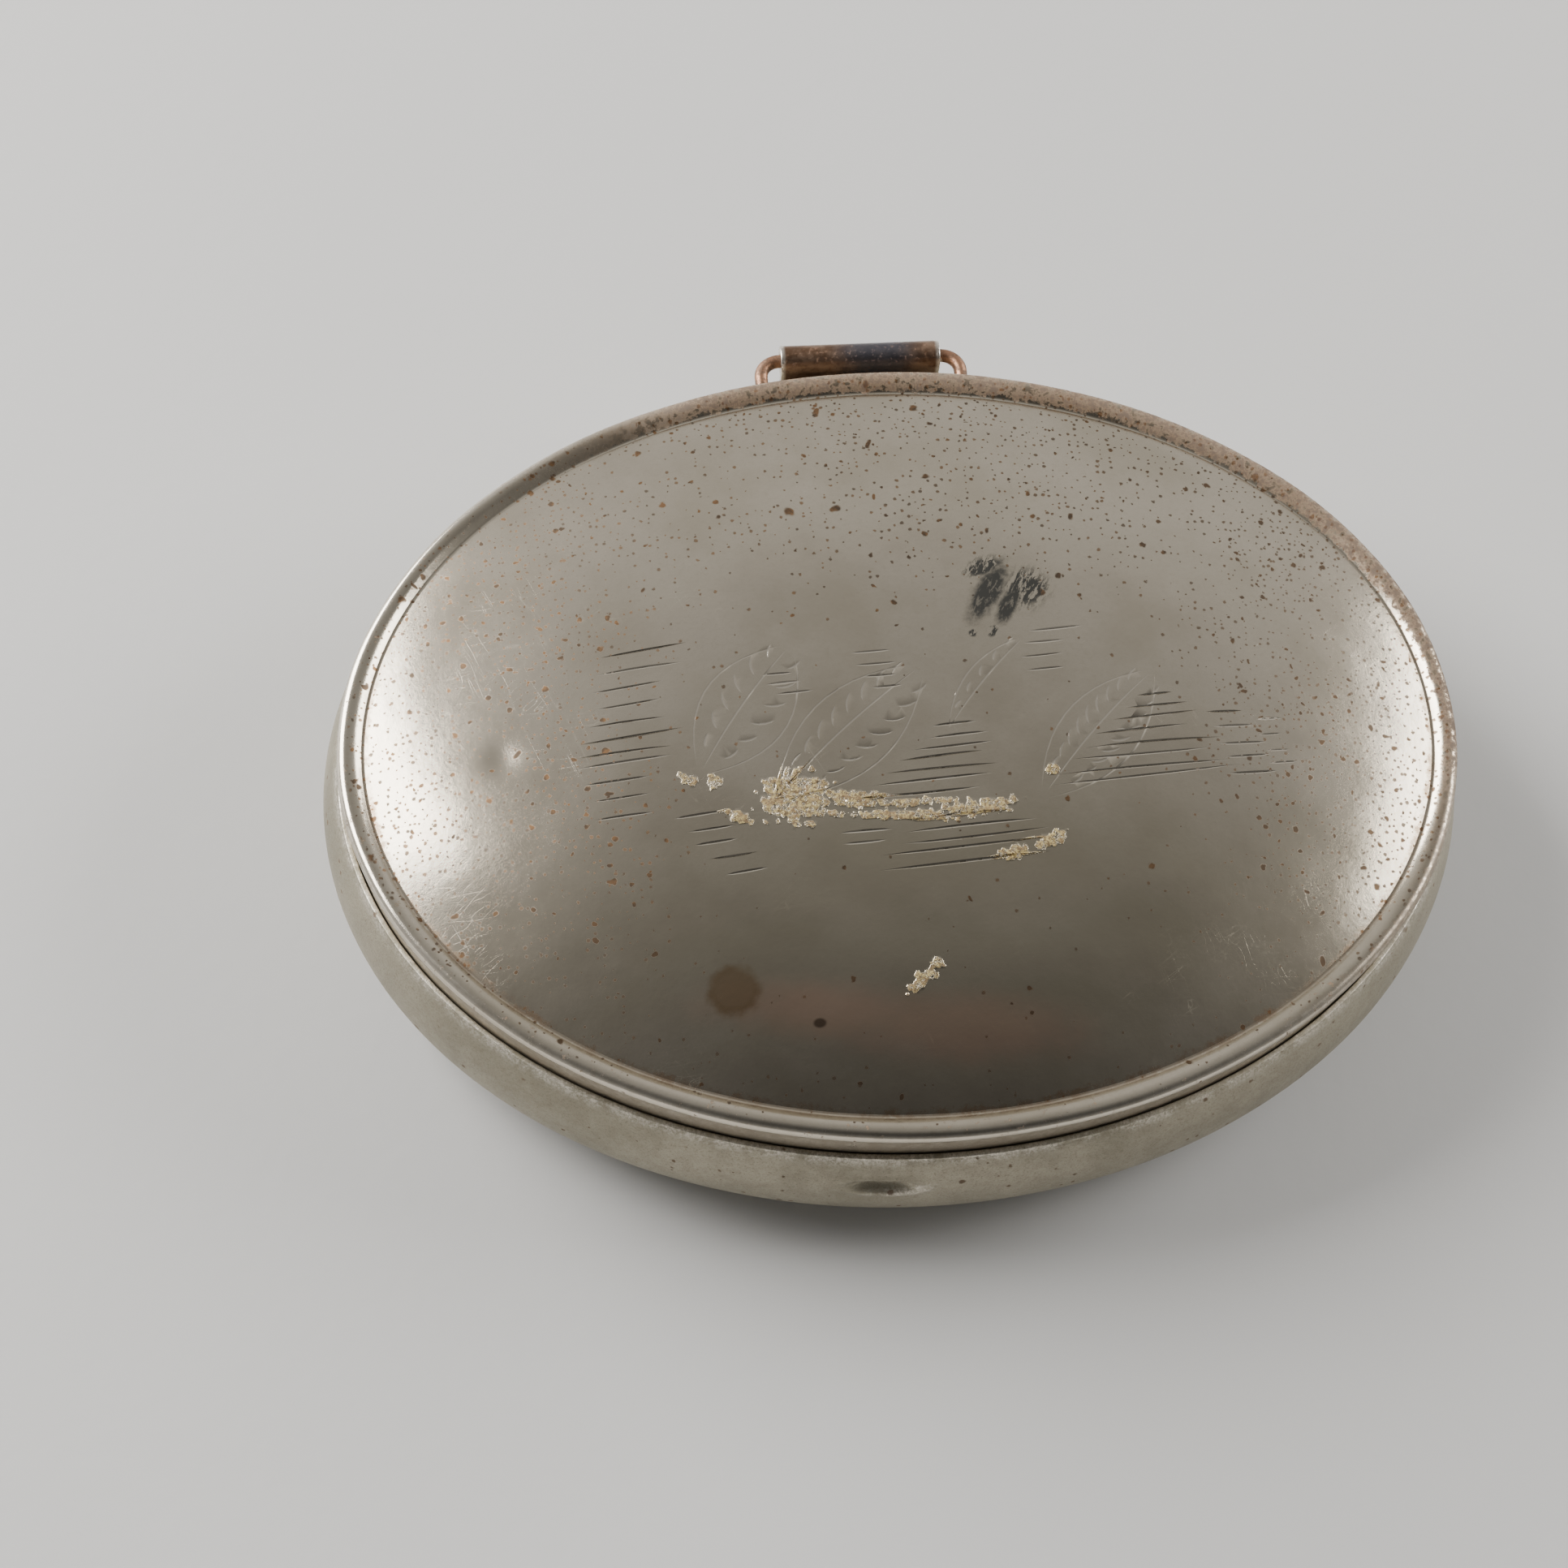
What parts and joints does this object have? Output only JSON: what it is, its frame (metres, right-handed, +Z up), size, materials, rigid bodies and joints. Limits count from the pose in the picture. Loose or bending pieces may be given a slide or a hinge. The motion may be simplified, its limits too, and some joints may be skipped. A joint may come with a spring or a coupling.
{
  "type": "oval hinged pocket box",
  "caption": "Oval pocket box of plated sheet metal: a bulging pan closed by a domed, engraved lid that turns on a wire in a rolled knuckle.",
  "frame": {"origin": "centre of the pan's flat underside", "axes": "+Z up through the lid, +X along the oval's long axis, +Y towards the hinge"},
  "size_m": [0.0808, 0.0641, 0.0194],
  "materials": {
    "pan_plate": "matt, finely grained plate, worn bright along the rim",
    "lid_plate": "satin plate, worn and speckled with rust",
    "rusty_wire": "rust-brown drawn wire",
    "knuckle_steel": "browned steel with bright cut ends",
    "solder": "dull soft solder"
  },
  "bodies": {
    "pan": {"base_pan": "pan_plate", "hinge_knuckle": "knuckle_steel", "hinge_solder": "solder"},
    "lid": {"lid": "lid_plate", "hinge_wire": "rusty_wire"}
  },
  "joints": [
    {"name": "lid_hinge", "type": "hinge", "parent": "pan", "child": "lid", "pos_m": [0, 0.03206, 0.0132], "axis": [-1, 0, 0], "range_deg": [0, 189]}
  ]
}
